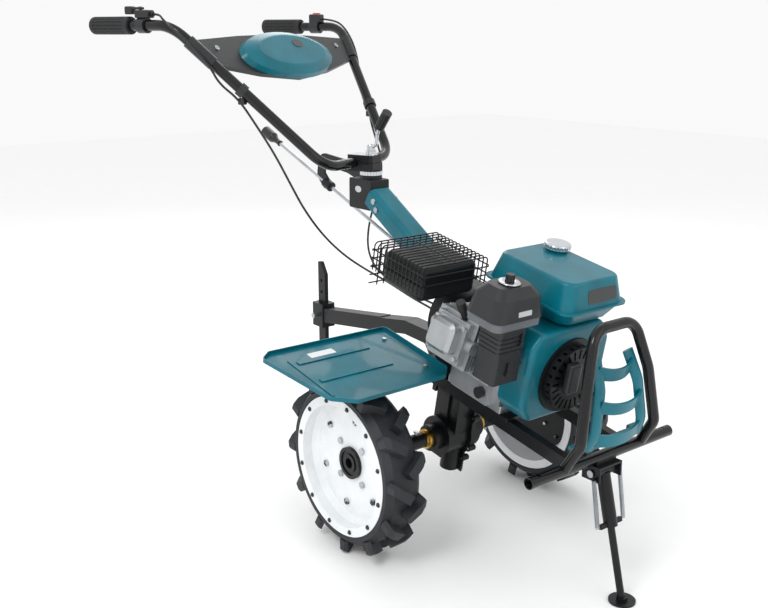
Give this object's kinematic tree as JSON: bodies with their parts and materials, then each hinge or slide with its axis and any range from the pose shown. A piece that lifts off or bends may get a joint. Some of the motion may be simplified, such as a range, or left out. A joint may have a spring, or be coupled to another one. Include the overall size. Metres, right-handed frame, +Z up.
{
  "type": "mini cultivator",
  "caption": "Walk-behind motor cultivator with two lugged wheels, a front bumper frame, a small engine and a swivelling handlebar",
  "frame": {"origin": "centre of the bounding box at ground level", "axes": "+X forwards, +Y to the machine's left along the axle, +Z up"},
  "size_m": [1.6004, 1.0334, 1.24],
  "materials": {
    "rim_paint": "white gloss paint",
    "tyre_rubber": "moulded rubber",
    "black_paint": "gloss black paint",
    "dark_steel": "black oxide",
    "yellow_zinc": "yellow zinc plate",
    "machined_steel": "ground",
    "cast_aluminium": "as cast",
    "chrome_plate": "polished chrome",
    "black_tube": "gloss black powder coat",
    "grip_rubber": "ribbed rubber",
    "black_plastic": "satin moulded",
    "red_plastic": "moulded",
    "zinc_plate": "bright zinc",
    "grey_plastic": "satin moulded",
    "black_rubber": "moulded",
    "heat_steel": "heat stained",
    "teal_paint": "gloss teal paint",
    "cable_sheath": "PVC sheath"
  },
  "bodies": {
    "chassis": {"air_filter_cover": "black_plastic", "air_filter_housing": "grey_plastic", "bearings": "machined_steel", "bumper": "black_tube", "carburettor_shield": "black_plastic", "chassis_bolts": "zinc_plate", "chassis_frame": "black_paint", "clutch_case": "black_paint", "crossbar": "black_tube", "cylinder_top": "cast_aluminium", "depth_bar": "black_paint", "drawbar_and_socket": "black_paint", "engine_block": "cast_aluminium", "fan_shroud": "teal_paint", "fenders": "teal_paint", "fuel_tank": "teal_paint", "gearcase_left": "black_paint", "gearcase_right": "black_paint", "ignition_plug": "black_rubber", "ladder_guard": "teal_paint", "muffler": "heat_steel", "muffler_guard": "black_paint", "neck": "teal_paint", "recoil_starter": "black_paint", "stand_bracket": "black_paint", "stand_springs": "zinc_plate", "steering_head": "black_paint", "stop_cable": "cable_sheath", "throttle_cable": "cable_sheath"},
    "axle": {"rim_left": "rim_paint", "rim_right": "rim_paint", "tyre_left": "tyre_rubber", "tyre_right": "tyre_rubber", "hub_left": "black_paint", "hub_right": "black_paint", "wheel_fasteners": "dark_steel", "hex_axle": "dark_steel", "axle_gear_and_collars": "yellow_zinc"},
    "bevel_shaft": {"drive_shaft": "machined_steel"},
    "gearbox_shaft": {"input_shaft": "machined_steel"},
    "crank": {"crankshaft_and_clutch": "machined_steel", "flywheel": "cast_aluminium"},
    "stand": {"front_stand": "black_paint"},
    "swivel_head": {"bar_clamp": "black_paint"},
    "clamp_lever": {"clamp_handle": "chrome_plate"},
    "handlebar": {"handlebar": "black_tube", "grips": "grip_rubber", "handlebar_panel": "black_plastic", "control_housings": "black_plastic"},
    "throttle_lever": {"throttle_lever": "black_plastic"},
    "stop_button": {"stop_button": "red_plastic"},
    "gear_shift": {"shift_rod": "zinc_plate", "shift_knob": "black_plastic"},
    "depth_pin": {"depth_pin": "zinc_plate"},
    "fuel_cap": {"fuel_cap": "chrome_plate"},
    "filter_knob": {"air_filter_knob": "black_plastic"},
    "choke_lever": {"choke_lever": "black_plastic"},
    "fuel_valve_lever": {"fuel_valve_lever": "black_plastic"},
    "oil_filler_cap": {"oil_filler_cap": "black_plastic"},
    "recoil_handle": {"recoil_handle": "black_plastic"}
  },
  "joints": [
    {"name": "wheel_spin", "type": "hinge", "parent": "chassis", "child": "axle", "pos_m": [0.21923, 0.04187, 0.214], "axis": [0, 1, 0], "continuous": true},
    {"name": "bevel_shaft_spin", "type": "hinge", "parent": "chassis", "child": "bevel_shaft", "pos_m": [0.21923, 0.04187, 0.214], "axis": [0.1788, 0, 0.9839], "continuous": true},
    {"name": "gearbox_shaft_spin", "type": "hinge", "parent": "chassis", "child": "gearbox_shaft", "pos_m": [0.27484, 0.04187, 0.51999], "axis": [0.9839, 0, -0.1788], "continuous": true},
    {"name": "crank_spin", "type": "hinge", "parent": "chassis", "child": "crank", "pos_m": [0.27484, 0.04187, 0.51999], "axis": [0.9839, 0, -0.1788], "continuous": true},
    {"name": "stand_fold", "type": "hinge", "parent": "chassis", "child": "stand", "pos_m": [0.69823, 0.04187, 0.2815], "axis": [0, 1, 0], "range_deg": [0, 85], "deforming": ["stand_springs"]},
    {"name": "handlebar_swivel", "type": "hinge", "parent": "chassis", "child": "swivel_head", "pos_m": [-0.10977, 0.04187, 0.8], "axis": [0, 0, 1], "range_deg": [-50.9, 9.1], "deforming": ["throttle_cable", "stop_cable"]},
    {"name": "handlebar_height", "type": "hinge", "parent": "swivel_head", "child": "handlebar", "pos_m": [-0.1434, 0.02902, 0.854], "axis": [-0.3567, 0.9342, 0], "range_deg": [-10, 25], "deforming": ["throttle_cable", "stop_cable"]},
    {"name": "clamp_lever_turn", "type": "hinge", "parent": "swivel_head", "child": "clamp_lever", "pos_m": [-0.10977, 0.04187, 0.89], "axis": [0, 0, 1], "range_deg": [-40, 40]},
    {"name": "throttle_lever_turn", "type": "hinge", "parent": "handlebar", "child": "throttle_lever", "pos_m": [-0.38624, -0.44564, 1.23], "axis": [0, 0, 1], "range_deg": [0, 40]},
    {"name": "stop_button_press", "type": "slide", "parent": "handlebar", "child": "stop_button", "axis": [0, 0, -1], "range_m": [0, 0.003], "stiffness_N_per_m": 300, "springref_m": -0.001},
    {"name": "gear_shift_slide", "type": "slide", "parent": "chassis", "child": "gear_shift", "axis": [0.9349, 0, -0.355], "range_m": [-0.03, 0.03]},
    {"name": "depth_pin_pull", "type": "slide", "parent": "chassis", "child": "depth_pin", "axis": [0, -1, 0], "range_m": [0, 0.08]},
    {"name": "fuel_cap_turn", "type": "hinge", "parent": "chassis", "child": "fuel_cap", "pos_m": [0.45684, 0.13387, 0.69934], "axis": [0.1788, 0, 0.9839], "range_deg": [0, 90]},
    {"name": "filter_knob_turn", "type": "hinge", "parent": "chassis", "child": "filter_knob", "pos_m": [0.56815, -0.12413, 0.69944], "axis": [0.1788, 0, 0.9839], "continuous": true},
    {"name": "choke_turn", "type": "hinge", "parent": "chassis", "child": "choke_lever", "pos_m": [0.58967, -0.10813, 0.56339], "axis": [0.9839, 0, -0.1788], "range_deg": [0, 70]},
    {"name": "fuel_valve_turn", "type": "hinge", "parent": "chassis", "child": "fuel_valve_lever", "pos_m": [0.57805, -0.13413, 0.49944], "axis": [0.9839, 0, -0.1788], "range_deg": [0, 90]},
    {"name": "oil_filler_turn", "type": "hinge", "parent": "chassis", "child": "oil_filler_cap", "pos_m": [0.44837, -0.03813, 0.41222], "axis": [0, -1, 0], "continuous": true},
    {"name": "recoil_pull", "type": "slide", "parent": "chassis", "child": "recoil_handle", "axis": [0, -1, 0], "range_m": [0, 0.25]}
  ],
  "couplings": [
    {"joint": "bevel_shaft_spin", "follows": "wheel_spin", "ratio": -3},
    {"joint": "gearbox_shaft_spin", "follows": "wheel_spin", "ratio": 4.5}
  ]
}
